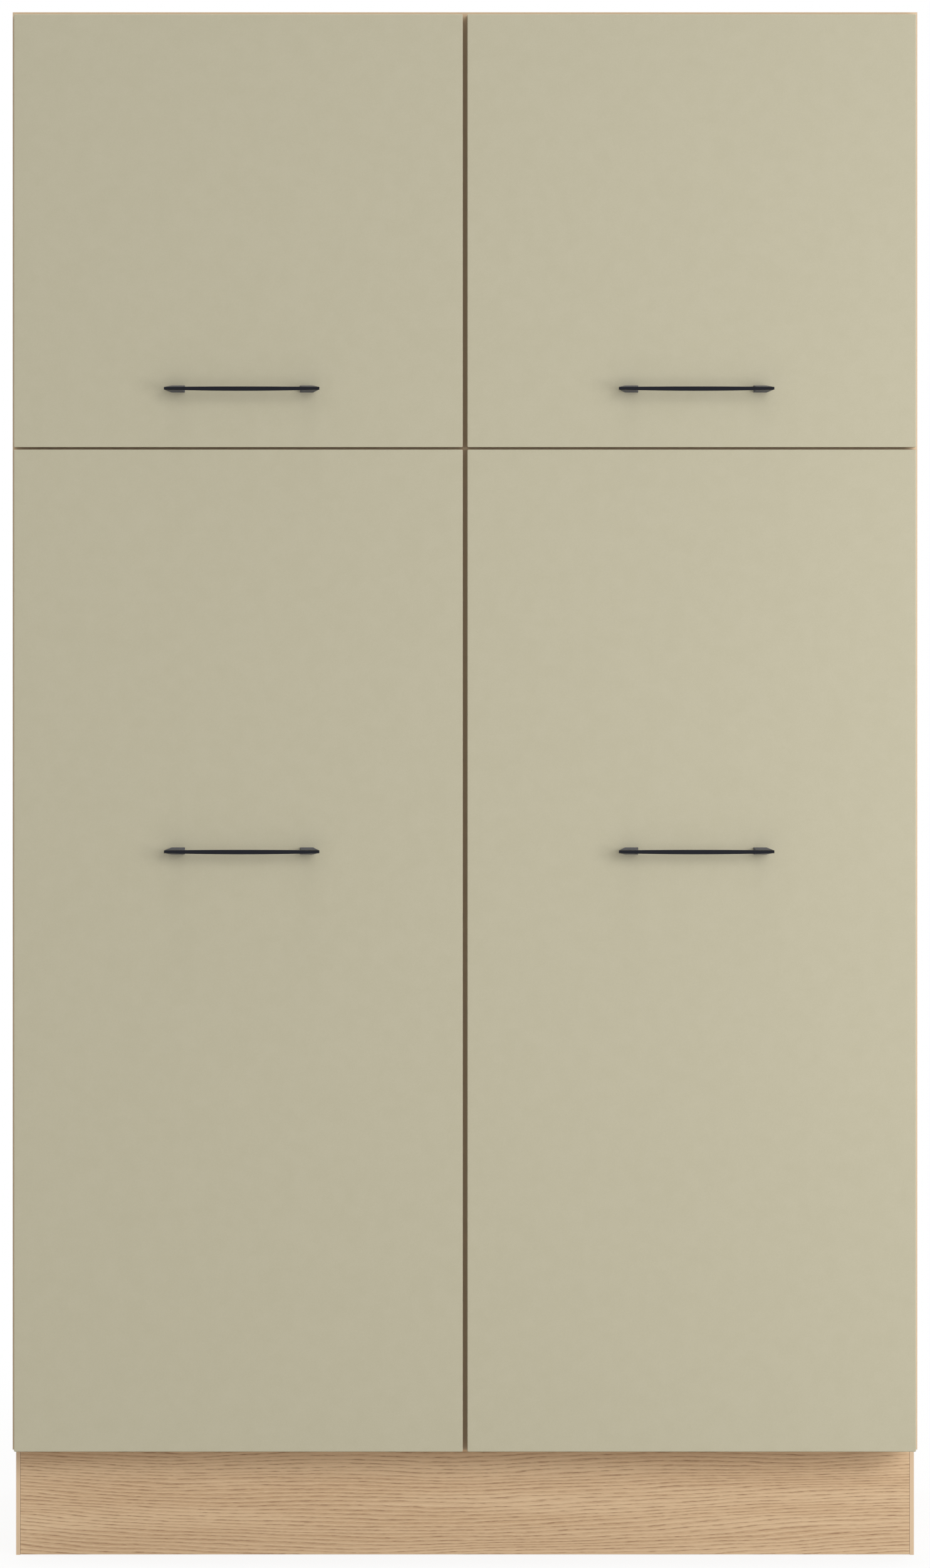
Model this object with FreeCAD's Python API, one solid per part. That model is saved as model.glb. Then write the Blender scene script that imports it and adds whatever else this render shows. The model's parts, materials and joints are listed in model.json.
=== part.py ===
"""Tall four-door storage cabinet: two joined carcasses, one plinth board, slab doors on cup hinges."""
import FreeCAD
import Part
import math
import os

Vec = FreeCAD.Vector
UP = Vec(0, 0, 1)
ACROSS = Vec(1, 0, 0)
BACK = Vec(0, 1, 0)

# Carcass, in millimetres: X across, Y from front to back, Z up
cabinet_width = 1200.0
carcass_depth = 560.0
plinth_height = 150.0
body_height = 1906.0
board = 16.0
back_thickness = 3.0
back_inset = 10.0
groove_depth = 6.0
groove_play = 0.2

# Doors
door_thickness = 16.0
door_gap = 2.0
side_reveal = 3.0
top_reveal = 4.0
door_split = 3.0
upper_door_height = 573.0
door_corner_radius = 1.5
door_edge_radius = 1.2

# Plinth board, let in between a lip on each outer side
plinth_setback = 55.0
plinth_thickness = 16.0
plinth_lip = 5.5
plinth_end_play = 0.3
plinth_floor_gap = 0.6
plinth_top_gap = 0.5

# Loose shelves and their pegs
lower_shelf_count = 3
shelf_setback = 68.0
shelf_side_play = 1.0
shelf_back_play = 4.0
peg_radius = 2.5
peg_play = 0.05
peg_depth = 9.0
peg_tab_length = 7.0
peg_tab_width = 8.0
peg_tab_height = 6.0
peg_front_inset = 40.0
peg_rear_inset = 50.0
peg_pitch = 32.0
peg_spare_rows = 2

# Cam fittings and dowels between the fixed boards
cam_radius = 7.4
cam_height = 12.2
cam_play = 0.1
cam_inset = 34.0
cam_front_inset = 90.0
cam_rear_inset = 90.0
cam_pocket_radius = 3.7
bolt_thread_radius = 3.0
bolt_thread_length = 11.0
bolt_shank_radius = 2.6
bolt_head_radius = 3.4
bolt_head_length = 3.0
bolt_bore_radius = 4.0
bolt_play = 0.05
dowel_radius = 4.0
dowel_length = 30.0
dowel_side_depth = 10.0
dowel_play = 0.05

# Screws that join the two carcasses
connector_front_inset = 70.0
connector_rear_inset = 90.0
connector_end_inset = 110.0
connector_shank_radius = 4.0
connector_screw_radius = 2.9
connector_head_radius = 7.0
connector_head_height = 1.6
connector_play = 0.05

# Angle brackets to the wall and to the plinth board
wall_bracket_width = 40.0
wall_bracket_leg = 36.0
wall_bracket_drop = 44.0
wall_bracket_thickness = 2.0
wall_bracket_end_inset = 84.0
wall_hole_radius = 3.25
wall_hole_drop = 24.0
plinth_bracket_width = 30.0
plinth_bracket_leg = 24.0
plinth_bracket_thickness = 2.0
plinth_bracket_inset = 120.0
bracket_screw_share = 2 / 3
bracket_screw_radius = 1.9
bracket_screw_length = 13.0
bracket_screw_head_radius = 3.8
bracket_screw_head_height = 2.0
bracket_screw_play = 0.05

# Door bumpers
bumper_radius = 5.0
bumper_play = 0.3
bumper_inset = 40.0

# Bow handles
handle_length = 205.0
handle_reach = 28.0
handle_bar_depth = 6.0
handle_bar_height = 5.7
handle_bar_end_height = 3.6
handle_bar_edge_radius = 0.8
handle_top_bow = 0.6
handle_foot_start = 76.2
handle_foot_length = 21.1
handle_foot_height = 9.2
handle_foot_corner = 3.7
handle_neck_height = 4.0
handle_neck_lead = 2.8
handle_neck_corner = 1.2
handle_hole_spacing = 176.0
handle_side_shift = 5.5
upper_handle_rise = 77.0
lower_handle_rise = 795.0
handle_screw_radius = 1.95
handle_screw_depth = 14.0
handle_screw_play = 0.05
handle_screw_door_play = 0.3
handle_screw_head_radius = 4.0
handle_screw_head_height = 2.2

# Cup hinges: the cup sunk in the door, measured from the cup's axis and the door's back face
cup_radius = 17.5
cup_play = 0.05
cup_wall = 1.15
cup_depth = 12.1
cup_floor = 0.8
cup_edge_distance = 4.0
cup_bore_play = 0.1
wing_thickness = 1.2
wing_start = 8.5
wing_end = 28.0
wing_inner_reach = 10.0
wing_outer_reach = 16.0
plug_offset = 9.5
plug_spacing = 45.0
plug_radius = 4.0
plug_depth = 10.0
upper_hinge_inset = 90.0
upper_hinge_count = 2
lower_hinge_inset = 90.0
lower_hinge_count = 3

# Hinge pivots as seen from above: inwards from the cup's axis, then behind the door's back face
outer_arm_pivot = (24.8, 32.0)
outer_elbow = (-5.0, -0.4)
outer_cup_pivot = (-11.58, -1.0)
inner_arm_pivot = (31.5, 2.3)
inner_elbow = (12.77, 2.3)
inner_cup_pivot = (-6.32, -3.89)
pin_radius = 0.9
pin_play = 0.05
link_half_width = 1.9
outer_eye_radius = 2.4
outer_neck_start = 0.35
outer_neck_end = 0.65
arm_rim = 2.0
arm_front_margin = 4.0
arm_back_margin = 6.0
open_pivot_play = 1.95
open_pivot_wall = 1.4
inner_link_half = 3.0
link_side_play = 0.4
outer_link_thickness = 2.0
arm_side_thickness = 1.5
arm_web = 1.5

# Mounting plates screwed to the outer sides
plate_thickness = 3.0
plate_screw_setback = 37.0
plate_screw_spacing = 32.0
plate_wing_half_width = 7.0
plate_wing_overhang = 8.0
plate_boss_start = 44.0
plate_boss_end = 62.0
plate_boss_height = 12.0
plate_arm_play = 0.3
plate_screw_radius = 3.0
plate_screw_length = 11.0
plate_screw_play = 0.05
plate_screw_head_radius = 4.5
plate_screw_head_height = 2.0
arm_screw_radius = 2.0
arm_screw_length = 9.0
arm_screw_play = 0.05
arm_screw_head_radius = 3.6
arm_screw_head_height = 2.0

# Driver crosses in the screw heads and cams
recess_depth = 1.2
recess_width = 1.1
screw_recess_reach = 4.6
cam_recess_reach = 9.0

# Two faces this near to each other lie in one plane
same_plane = 0.01

# Places worked out from the sizes above
cabinet_height = plinth_height + body_height
half_width = cabinet_width / 2
total_depth = carcass_depth + door_gap + door_thickness + handle_reach
rear_y = total_depth / 2
front_y = rear_y - carcass_depth
door_back_y = front_y - door_gap
door_front_y = door_back_y - door_thickness
inner_left = -half_width + board
inner_right = -board
back_face_y = rear_y - back_inset - back_thickness
shelf_rear_y = back_face_y - groove_play
bottom_top_z = plinth_height + board
top_under_z = cabinet_height - board
upper_door_top = cabinet_height - top_reveal
upper_door_bottom = upper_door_top - upper_door_height
lower_door_top = upper_door_bottom - door_split
lower_door_bottom = plinth_height
divide_under_z = (upper_door_bottom + lower_door_top - board) / 2
divide_top_z = divide_under_z + board
plinth_front_y = front_y + plinth_setback
notch_y = plinth_front_y + plinth_thickness
cup_x = -half_width + side_reveal + cup_edge_distance + cup_radius
door_left = -half_width + side_reveal
door_right = -side_reveal
cam_rows = (front_y + cam_front_inset, back_face_y - cam_rear_inset)
dowel_row = sum(cam_rows) / 2
peg_rows = (front_y + shelf_setback + peg_front_inset, back_face_y - peg_rear_inset)
outer_link_start = inner_link_half + link_side_play
outer_link_end = outer_link_start + outer_link_thickness
arm_inside = outer_link_end + link_side_play
arm_outside = arm_inside + arm_side_thickness
arm_crown_x = inner_left + plate_thickness + plate_boss_height


# Basic shapes
def block(x0, x1, y0, y1, z0, z1):
    """Box between two corners."""
    return Part.makeBox(x1 - x0, y1 - y0, z1 - z0, Vec(x0, y0, z0))


def rod(radius, start, direction, length):
    """Round bar from a start point."""
    return Part.makeCylinder(radius, length, start, direction)


def prism(points, z0, z1):
    """Upright prism on a flat outline seen from above."""
    corners = [Vec(x, y, z0) for x, y in points]
    face = Part.Face(Part.makePolygon(corners + corners[:1]))
    return face.extrude(UP * (z1 - z0))


def centred_block(centre, size):
    """Box of a given size round its centre."""
    return Part.makeBox(size.x, size.y, size.z, centre - size * 0.5)


def driver_cross(top, outwards, reach):
    """Two crossing slots sunk from the middle of an outer face."""
    axis = Vec(abs(outwards.x), abs(outwards.y), abs(outwards.z))
    first, second = [unit for unit in (ACROSS, BACK, UP) if axis.dot(unit) < 0.5]
    centre = top - outwards * (recess_depth / 2)
    sizes = (axis * recess_depth + first * reach + second * recess_width,
             axis * recess_depth + second * reach + first * recess_width)
    return [centred_block(centre, size) for size in sizes]


def screw(seat, outwards, head_radius, head_height, shank_radius, shank_length):
    """Pan head with a driver cross on its seat, and a plain shank behind the seat."""
    head = rod(head_radius, seat, outwards, head_height)
    shank = rod(shank_radius, seat, outwards * -1, shank_length)
    cross = driver_cross(seat + outwards * head_height, outwards, screw_recess_reach)
    return merged([head, shank]).cut(cross)


def merged(shapes):
    """One clean solid from touching shapes."""
    return shapes[0].fuse(shapes[1:]).removeSplitter()


def mirrored(shapes):
    """The same shapes on the other half of the cabinet."""
    return [shape.mirror(Vec(0, 0, 0), ACROSS) for shape in shapes]


def on_both_sides(shapes):
    """Shapes of the left half followed by those of the right half."""
    return list(shapes) + mirrored(shapes)


def save(node, solids):
    """Write one node as its separate solids."""
    shape = solids[0] if len(solids) == 1 else Part.makeCompound(solids)
    shape.exportStep("parts/%s.step" % node)


def save_pair(name, solid):
    """Write a board of the left carcass and its twin of the right one."""
    save("left_" + name, [solid])
    save("right_" + name, mirrored([solid]))


# Shelf levels and hinge heights
def shelf_levels():
    """Undersides of the loose shelves: the upper one, then the lower ones from the bottom up."""
    upper_room = top_under_z - divide_top_z
    lower_room = divide_under_z - bottom_top_z
    levels = [divide_top_z + (upper_room - board) / 2]
    clear = (lower_room - lower_shelf_count * board) / (lower_shelf_count + 1)
    for step in range(lower_shelf_count):
        levels.append(bottom_top_z + clear + step * (clear + board))
    return levels


def hinge_heights(bottom, top, inset, count):
    """Hinge axes spread evenly between the two insets of one door."""
    first = bottom + inset
    step = (top - bottom - 2 * inset) / (count - 1)
    return [first + step * index for index in range(count)]


upper_hinges = hinge_heights(upper_door_bottom, upper_door_top, upper_hinge_inset, upper_hinge_count)
lower_hinges = hinge_heights(lower_door_bottom, lower_door_top, lower_hinge_inset, lower_hinge_count)
all_hinges = upper_hinges + lower_hinges


# Fixed boards of the left carcass
def cam_ends():
    """Each end of a fixed board: its X and the way from the side into the board."""
    return ((inner_left, 1), (inner_right, -1))


def fixed_levels():
    """Underside of each fixed board and whether its cams are sunk from above."""
    return ((top_under_z, True), (plinth_height, False), (divide_under_z, False))


def cam_axis_z(under):
    """Height of the bolts in a fixed board."""
    return under + board / 2


def fixed_board_cutters(under, from_above):
    """Bores for the cams, bolts and dowels of one fixed board."""
    cutters = []
    middle = cam_axis_z(under)
    depth = cam_height + cam_play
    for end_x, way in cam_ends():
        cam_x = end_x + way * cam_inset
        for row in cam_rows:
            bore_z = under + board - depth if from_above else under
            cutters.append(rod(cam_radius + cam_play, Vec(cam_x, row, bore_z), UP, depth))
            cutters.append(rod(bolt_bore_radius, Vec(end_x, row, middle), ACROSS * way, cam_inset))
        dowel_reach = dowel_length - dowel_side_depth + dowel_play
        dowel_mouth = Vec(end_x, dowel_row, middle)
        cutters.append(rod(dowel_radius + dowel_play, dowel_mouth, ACROSS * way, dowel_reach))
    return cutters


def back_groove(z0, z1):
    """Groove along a fixed board for the edge of the back."""
    return block(inner_left, inner_right, back_face_y - groove_play,
                 back_face_y + back_thickness + groove_play, z0, z1)


def top_board():
    solid = block(inner_left, inner_right, front_y, rear_y, top_under_z, cabinet_height)
    cutters = fixed_board_cutters(top_under_z, True)
    cutters.append(back_groove(top_under_z, top_under_z + groove_depth))
    cutters += [screw_hole(point, UP) for point in wall_screw_points()]
    return solid.cut(cutters)


def bottom_board():
    solid = block(inner_left, inner_right, front_y, rear_y, plinth_height, bottom_top_z)
    cutters = fixed_board_cutters(plinth_height, False)
    cutters.append(back_groove(bottom_top_z - groove_depth, bottom_top_z))
    cutters += [screw_hole(point, UP) for point in plinth_screw_points()]
    return solid.cut(cutters)


def divide_board():
    solid = block(inner_left, inner_right, front_y, shelf_rear_y, divide_under_z, divide_top_z)
    return solid.cut(fixed_board_cutters(divide_under_z, False))


def back_board():
    edge = groove_depth - groove_play
    solid = block(inner_left - edge, inner_right + edge, back_face_y, back_face_y + back_thickness,
                  bottom_top_z - edge, top_under_z + edge)
    holes = [rod(wall_hole_radius, Vec(x, back_face_y, wall_hole_z()), BACK, back_thickness)
             for x in wall_bracket_places()]
    return solid.cut(holes)


def side_outline(x0, x1, lip):
    """Side board down to the floor with the toe notch cut out; a lip hides the plinth board's end."""
    solid = block(x0, x1, front_y, rear_y, 0, cabinet_height)
    solid = solid.cut(block(x0, x1, front_y, plinth_front_y, 0, plinth_height))
    return solid.cut(block(x0 + lip, x1, plinth_front_y, notch_y, 0, plinth_height))


def side_cutters(face_x, way):
    """Bores that both sides of a carcass share; way points from the inner face into the board."""
    cutters = []
    groove_x = sorted((face_x, face_x + way * groove_depth))
    cutters.append(block(groove_x[0], groove_x[1], back_face_y - groove_play,
                         back_face_y + back_thickness + groove_play,
                         bottom_top_z - groove_depth, top_under_z + groove_depth))
    for under, from_above in fixed_levels():
        middle = cam_axis_z(under)
        for row in cam_rows:
            cutters.append(rod(bolt_thread_radius + bolt_play, Vec(face_x, row, middle), ACROSS * way,
                               bolt_thread_length + bolt_play))
        cutters.append(rod(dowel_radius + dowel_play, Vec(face_x, dowel_row, middle), ACROSS * way,
                           dowel_side_depth + dowel_play))
    for level in shelf_levels():
        for row in peg_rows:
            for step in range(-peg_spare_rows, peg_spare_rows + 1):
                mouth = Vec(face_x, row, peg_axis_z(level) + step * peg_pitch)
                cutters.append(rod(peg_radius + peg_play, mouth, ACROSS * way, peg_depth))
    return cutters


def outer_side():
    cutters = side_cutters(inner_left, -1)
    for hinge_z in all_hinges:
        for point in plate_screw_points(hinge_z):
            cutters.append(rod(plate_screw_radius + plate_screw_play, point, ACROSS * -1,
                               plate_screw_length))
    return side_outline(-half_width, inner_left, plinth_lip).cut(cutters)


def inner_side():
    cutters = side_cutters(inner_right, 1)
    for point in connector_points():
        cutters.append(rod(connector_shank_radius + connector_play, point, ACROSS, board))
    return side_outline(inner_right, 0, lip=0).cut(cutters)


# Loose shelves and pegs
def peg_axis_z(level):
    """Peg axis under a shelf that rests on the peg's tab."""
    return level - peg_tab_height / 2


def loose_shelf(level):
    return block(inner_left + shelf_side_play, inner_right - shelf_side_play,
                 front_y + shelf_setback, back_face_y - shelf_back_play, level, level + board)


def shelf_pegs():
    """Four pegs under every loose shelf of the left carcass."""
    pegs = []
    for level in shelf_levels():
        for row in peg_rows:
            for face_x, way in cam_ends():
                shank = rod(peg_radius, Vec(face_x - way * (peg_depth - peg_play), row, peg_axis_z(level)),
                            ACROSS * way, peg_depth)
                tab_x = sorted((face_x, face_x + way * peg_tab_length))
                tab = block(tab_x[0], tab_x[1], row - peg_tab_width / 2, row + peg_tab_width / 2,
                            level - peg_tab_height, level)
                pegs.append(merged([shank, tab]))
    return pegs


# Fittings of the left carcass
def cam_locks():
    cams = []
    for under, from_above in fixed_levels():
        for end_x, way in cam_ends():
            cam_x = end_x + way * cam_inset
            for row in cam_rows:
                base_z = under + board - cam_height if from_above else under
                cam = rod(cam_radius, Vec(cam_x, row, base_z), UP, cam_height)
                pocket_start = Vec(cam_x - way * cam_radius, row, cam_axis_z(under))
                pocket_length = cam_radius + bolt_head_length
                pocket = rod(cam_pocket_radius, pocket_start, ACROSS * way, pocket_length)
                outwards = UP if from_above else UP * -1
                face_z = under + board if from_above else under
                cross = driver_cross(Vec(cam_x, row, face_z), outwards, cam_recess_reach)
                cams.append(cam.cut([pocket] + cross))
    return cams


def cam_bolts():
    bolts = []
    for under, from_above in fixed_levels():
        for end_x, way in cam_ends():
            for row in cam_rows:
                root = Vec(end_x - way * bolt_thread_length, row, cam_axis_z(under))
                seat = Vec(end_x, row, cam_axis_z(under))
                tip = Vec(end_x + way * cam_inset, row, cam_axis_z(under))
                along = ACROSS * way
                bolts.append(merged([rod(bolt_thread_radius, root, along, bolt_thread_length),
                                     rod(bolt_shank_radius, seat, along, cam_inset),
                                     rod(bolt_head_radius, tip, along * -1, bolt_head_length)]))
    return bolts


def dowels():
    pegs = []
    for under, from_above in fixed_levels():
        for end_x, way in cam_ends():
            start = Vec(end_x - way * dowel_side_depth, dowel_row, cam_axis_z(under))
            pegs.append(rod(dowel_radius, start, ACROSS * way, dowel_length))
    return pegs


def connector_points():
    """Axes of the carcass joining screws on the left inner side's inside face."""
    rows = (front_y + connector_front_inset, back_face_y - connector_rear_inset)
    heights = (bottom_top_z + connector_end_inset, top_under_z - connector_end_inset)
    return [Vec(inner_right, row, height) for row in rows for height in heights]


def module_connectors():
    """A flanged sleeve from the left and a screw into it from the right, at each joining place."""
    pieces = []
    length = 2 * board
    for point in connector_points():
        far = point + ACROSS * length
        head_left = rod(connector_head_radius, point, ACROSS * -1, connector_head_height)
        tube = rod(connector_shank_radius, point, ACROSS, length)
        sleeve = merged([head_left, tube])
        bore = rod(connector_screw_radius + connector_play, far, ACROSS * -1, length)
        pieces.append(sleeve.cut(bore))
        pieces.append(screw(far, ACROSS, connector_head_radius, connector_head_height,
                            connector_screw_radius, length - board / 2))
    return pieces


# Angle brackets and their screws
def wall_bracket_places():
    return (inner_left + wall_bracket_end_inset, inner_right - wall_bracket_end_inset)


def wall_hole_z():
    return top_under_z - wall_hole_drop


def wall_screw_points():
    row = back_face_y - wall_bracket_leg * bracket_screw_share
    return [Vec(x, row, top_under_z) for x in wall_bracket_places()]


def screw_hole(seat, direction):
    """Bore for a bracket screw that goes into a board from its seat."""
    return rod(bracket_screw_radius + bracket_screw_play, seat, direction, bracket_screw_length)


def bracket_screw(seat, direction, bracket_thickness):
    """Pan head under the bracket and a shank through it into the board."""
    return screw(seat - direction * bracket_thickness, direction * -1, bracket_screw_head_radius,
                 bracket_screw_head_height, bracket_screw_radius, bracket_thickness + bracket_screw_length)


def wall_brackets():
    brackets = []
    for place, seat in zip(wall_bracket_places(), wall_screw_points()):
        x0 = place - wall_bracket_width / 2
        x1 = place + wall_bracket_width / 2
        leg = block(x0, x1, back_face_y - wall_bracket_leg, back_face_y,
                    top_under_z - wall_bracket_thickness, top_under_z)
        drop = block(x0, x1, back_face_y - wall_bracket_thickness, back_face_y,
                     top_under_z - wall_bracket_drop, top_under_z)
        wall_hole = rod(wall_hole_radius, Vec(place, back_face_y - wall_bracket_thickness, wall_hole_z()),
                        BACK, wall_bracket_thickness)
        seat_hole = screw_hole(seat - UP * wall_bracket_thickness, UP)
        brackets.append(merged([leg, drop]).cut([wall_hole, seat_hole]))
    return brackets


def plinth_bracket_places():
    return (inner_left + plinth_bracket_inset, inner_right - plinth_bracket_inset)


def plinth_screw_points():
    row = notch_y + plinth_bracket_leg * bracket_screw_share
    return [Vec(x, row, plinth_height) for x in plinth_bracket_places()]


def plinth_face_points():
    height = plinth_height - plinth_bracket_leg * bracket_screw_share
    return [Vec(x, notch_y, height) for x in plinth_bracket_places()]


def plinth_brackets():
    brackets = []
    places = zip(plinth_bracket_places(), plinth_screw_points(), plinth_face_points())
    for place, under_seat, face_seat in places:
        x0 = place - plinth_bracket_width / 2
        x1 = place + plinth_bracket_width / 2
        under = block(x0, x1, notch_y, notch_y + plinth_bracket_leg,
                      plinth_height - plinth_bracket_thickness, plinth_height)
        face = block(x0, x1, notch_y, notch_y + plinth_bracket_thickness,
                     plinth_height - plinth_bracket_leg, plinth_height)
        holes = [screw_hole(under_seat - UP * plinth_bracket_thickness, UP),
                 screw_hole(face_seat + BACK * plinth_bracket_thickness, BACK * -1)]
        brackets.append(merged([under, face]).cut(holes))
    return brackets


def bracket_screws():
    screws = [bracket_screw(seat, UP, wall_bracket_thickness) for seat in wall_screw_points()]
    screws += [bracket_screw(seat, UP, plinth_bracket_thickness) for seat in plinth_screw_points()]
    screws += [bracket_screw(seat, BACK * -1, plinth_bracket_thickness) for seat in plinth_face_points()]
    return screws


def plinth_board():
    end = half_width - plinth_lip - plinth_end_play
    solid = block(-end, end, plinth_front_y, notch_y, plinth_floor_gap, plinth_height - plinth_top_gap)
    holes = on_both_sides([screw_hole(seat, BACK * -1) for seat in plinth_face_points()])
    return solid.cut(holes)


def door_bumpers():
    """Soft dots on the front edge of the left inner side, behind the free corners of its doors."""
    dots = []
    for bottom, top in ((upper_door_bottom, upper_door_top), (lower_door_bottom, lower_door_top)):
        for height in (bottom + bumper_inset, top - bumper_inset):
            start = Vec(-board / 2, front_y, height)
            dots.append(rod(bumper_radius, start, BACK * -1, door_gap - bumper_play))
    return dots


# Cup hinges of the left carcass
def hinge_point(place):
    """X and Y of a point given from the cup's axis and the door's back face."""
    return (cup_x + place[0], door_back_y + place[1])


def pivot_rod(place, radius, z0, z1):
    """Upright round bar on a pivot."""
    x, y = hinge_point(place)
    return rod(radius, Vec(x, y, z0), UP, z1 - z0)


def between(start, end, share):
    """Place at a share of the way from one place to another."""
    return [a + (b - a) * share for a, b in zip(start, end)]


def link_bar(start, end, half_width_of_bar, z0, z1):
    """Flat bar with round ends between two places."""
    x0, y0 = hinge_point(start)
    x1, y1 = hinge_point(end)
    length = math.hypot(x1 - x0, y1 - y0)
    nx = -(y1 - y0) / length * half_width_of_bar
    ny = (x1 - x0) / length * half_width_of_bar
    outline = [(x0 + nx, y0 + ny), (x1 + nx, y1 + ny), (x1 - nx, y1 - ny), (x0 - nx, y0 - ny)]
    return [prism(outline, z0, z1), pivot_rod(start, half_width_of_bar, z0, z1),
            pivot_rod(end, half_width_of_bar, z0, z1)]


def outer_link(hinge_z):
    """Forked link: two plates joined by a solid neck on the arm side of the elbow."""
    shapes = []
    for z0 in (hinge_z + outer_link_start, hinge_z - outer_link_end):
        z1 = z0 + outer_link_thickness
        shapes += link_bar(outer_arm_pivot, outer_elbow, link_half_width, z0, z1)
        shapes += link_bar(outer_elbow, outer_cup_pivot, link_half_width, z0, z1)
        shapes.append(pivot_rod(outer_arm_pivot, outer_eye_radius, z0, z1))
        shapes.append(pivot_rod(outer_cup_pivot, outer_eye_radius, z0, z1))
    neck_start = between(outer_arm_pivot, outer_elbow, outer_neck_start)
    neck_end = between(outer_arm_pivot, outer_elbow, outer_neck_end)
    shapes += link_bar(neck_start, neck_end, link_half_width,
                       hinge_z - outer_link_end, hinge_z + outer_link_end)
    bores = [pivot_rod(place, pin_radius + pin_play, hinge_z - outer_link_end, hinge_z + outer_link_end)
             for place in (outer_arm_pivot, outer_cup_pivot)]
    return merged(shapes).cut(bores)


def inner_link(hinge_z):
    """Single thick link; its eye round the cup pin is wide, where the four-bar loop is left open."""
    z0 = hinge_z - inner_link_half
    z1 = hinge_z + inner_link_half
    eye = pin_radius + open_pivot_play
    shapes = link_bar(inner_arm_pivot, inner_elbow, link_half_width, z0, z1)
    shapes += link_bar(inner_elbow, inner_cup_pivot, link_half_width, z0, z1)
    shapes.append(pivot_rod(inner_cup_pivot, eye + open_pivot_wall, z0, z1))
    bores = [pivot_rod(inner_arm_pivot, pin_radius + pin_play, z0, z1),
             pivot_rod(inner_cup_pivot, eye, z0, z1)]
    return merged(shapes).cut(bores)


def arm_outline():
    """Arm seen from above: from the mounting plate out to the two pivots; the last edges carry the web."""
    foot = inner_left + plate_thickness + plate_arm_play
    heel_y = front_y + plate_boss_end + arm_web
    toe_y = front_y + plate_screw_setback + plate_wing_half_width
    knee_y = front_y + plate_boss_start
    ox, oy = hinge_point(outer_arm_pivot)
    ix, iy = hinge_point(inner_arm_pivot)
    face_y = iy - arm_rim
    return [(foot, heel_y), (foot, toe_y), (ox - arm_front_margin, oy - arm_rim), (ix - arm_rim, face_y),
            (ix + arm_rim, face_y), (ix + arm_back_margin, iy), (ox + arm_back_margin, oy + arm_rim),
            (arm_crown_x, knee_y), (arm_crown_x, heel_y)]


def inset_path(points, distance):
    """Open path moved to its left by a distance, with its corners kept sharp."""
    lines = []
    for (x0, y0), (x1, y1) in zip(points, points[1:]):
        length = math.hypot(x1 - x0, y1 - y0)
        ux = (x1 - x0) / length
        uy = (y1 - y0) / length
        lines.append((x0 - uy * distance, y0 + ux * distance, ux, uy))
    path = [lines[0][:2]]
    for (px, py, ux, uy), (qx, qy, vx, vy) in zip(lines, lines[1:]):
        step = ((qx - px) * vy - (qy - py) * vx) / (ux * vy - uy * vx)
        path.append((px + ux * step, py + uy * step))
    last_x, last_y = points[-1]
    path.append((last_x - lines[-1][3] * distance, last_y + lines[-1][2] * distance))
    return path


def hinge_arm(hinge_z):
    """Pressed arm: two side plates and the web that joins them behind the links."""
    outline = arm_outline()
    room = inset_path(outline[-4:] + outline[:1], arm_web)
    open_x = outline[0][0] - arm_front_margin
    open_y = outline[3][1] - arm_front_margin
    room = [(room[0][0], open_y)] + room[:-1] + [(open_x, room[-1][1]), (open_x, open_y)]
    cutters = [prism(room, hinge_z - arm_inside, hinge_z + arm_inside), arm_screw_bore(hinge_z)]
    for place in (outer_arm_pivot, inner_arm_pivot):
        cutters.append(pivot_rod(place, pin_radius, hinge_z - arm_outside, hinge_z + arm_outside))
    return prism(outline, hinge_z - arm_outside, hinge_z + arm_outside).cut(cutters)


def arm_pins(hinge_z):
    return [pivot_rod(place, pin_radius, hinge_z - arm_outside, hinge_z + arm_outside)
            for place in (outer_arm_pivot, inner_arm_pivot)]


def plate_screw_points(hinge_z):
    """Screw seats of one mounting plate on the outer side's inner face."""
    row = front_y + plate_screw_setback
    half = plate_screw_spacing / 2
    return [Vec(inner_left, row, hinge_z - half), Vec(inner_left, row, hinge_z + half)]


def mounting_plate(hinge_z):
    """Cross-shaped plate with the boss that the arm clips over."""
    row = front_y + plate_screw_setback
    reach = plate_screw_spacing / 2 + plate_wing_overhang
    wing = block(inner_left, inner_left + plate_thickness, row - plate_wing_half_width,
                 row + plate_wing_half_width, hinge_z - reach, hinge_z + reach)
    boss = block(inner_left, arm_crown_x - arm_web, front_y + plate_boss_start, front_y + plate_boss_end,
                 hinge_z - arm_inside, hinge_z + arm_inside)
    base = block(inner_left, inner_left + plate_thickness, row, front_y + plate_boss_end,
                 hinge_z - arm_inside, hinge_z + arm_inside)
    holes = [rod(plate_screw_radius + plate_screw_play, point, ACROSS, plate_thickness)
             for point in plate_screw_points(hinge_z)]
    return merged([wing, boss, base]).cut(holes + [arm_screw_bore(hinge_z)])


def plate_screws(hinge_z):
    return [screw(point + ACROSS * plate_thickness, ACROSS, plate_screw_head_radius, plate_screw_head_height,
                  plate_screw_radius, plate_thickness + plate_screw_length)
            for point in plate_screw_points(hinge_z)]


def arm_screw_seat(hinge_z):
    """Middle of the flat web over the mounting plate's boss."""
    return Vec(arm_crown_x, front_y + (plate_boss_start + plate_boss_end) / 2, hinge_z)


def arm_screw_bore(hinge_z):
    return rod(arm_screw_radius + arm_screw_play, arm_screw_seat(hinge_z), ACROSS * -1, arm_screw_length)


def arm_screw(hinge_z):
    """Screw that holds the arm on the boss."""
    return screw(arm_screw_seat(hinge_z), ACROSS, arm_screw_head_radius, arm_screw_head_height,
                 arm_screw_radius, arm_screw_length - arm_screw_play)


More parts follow.
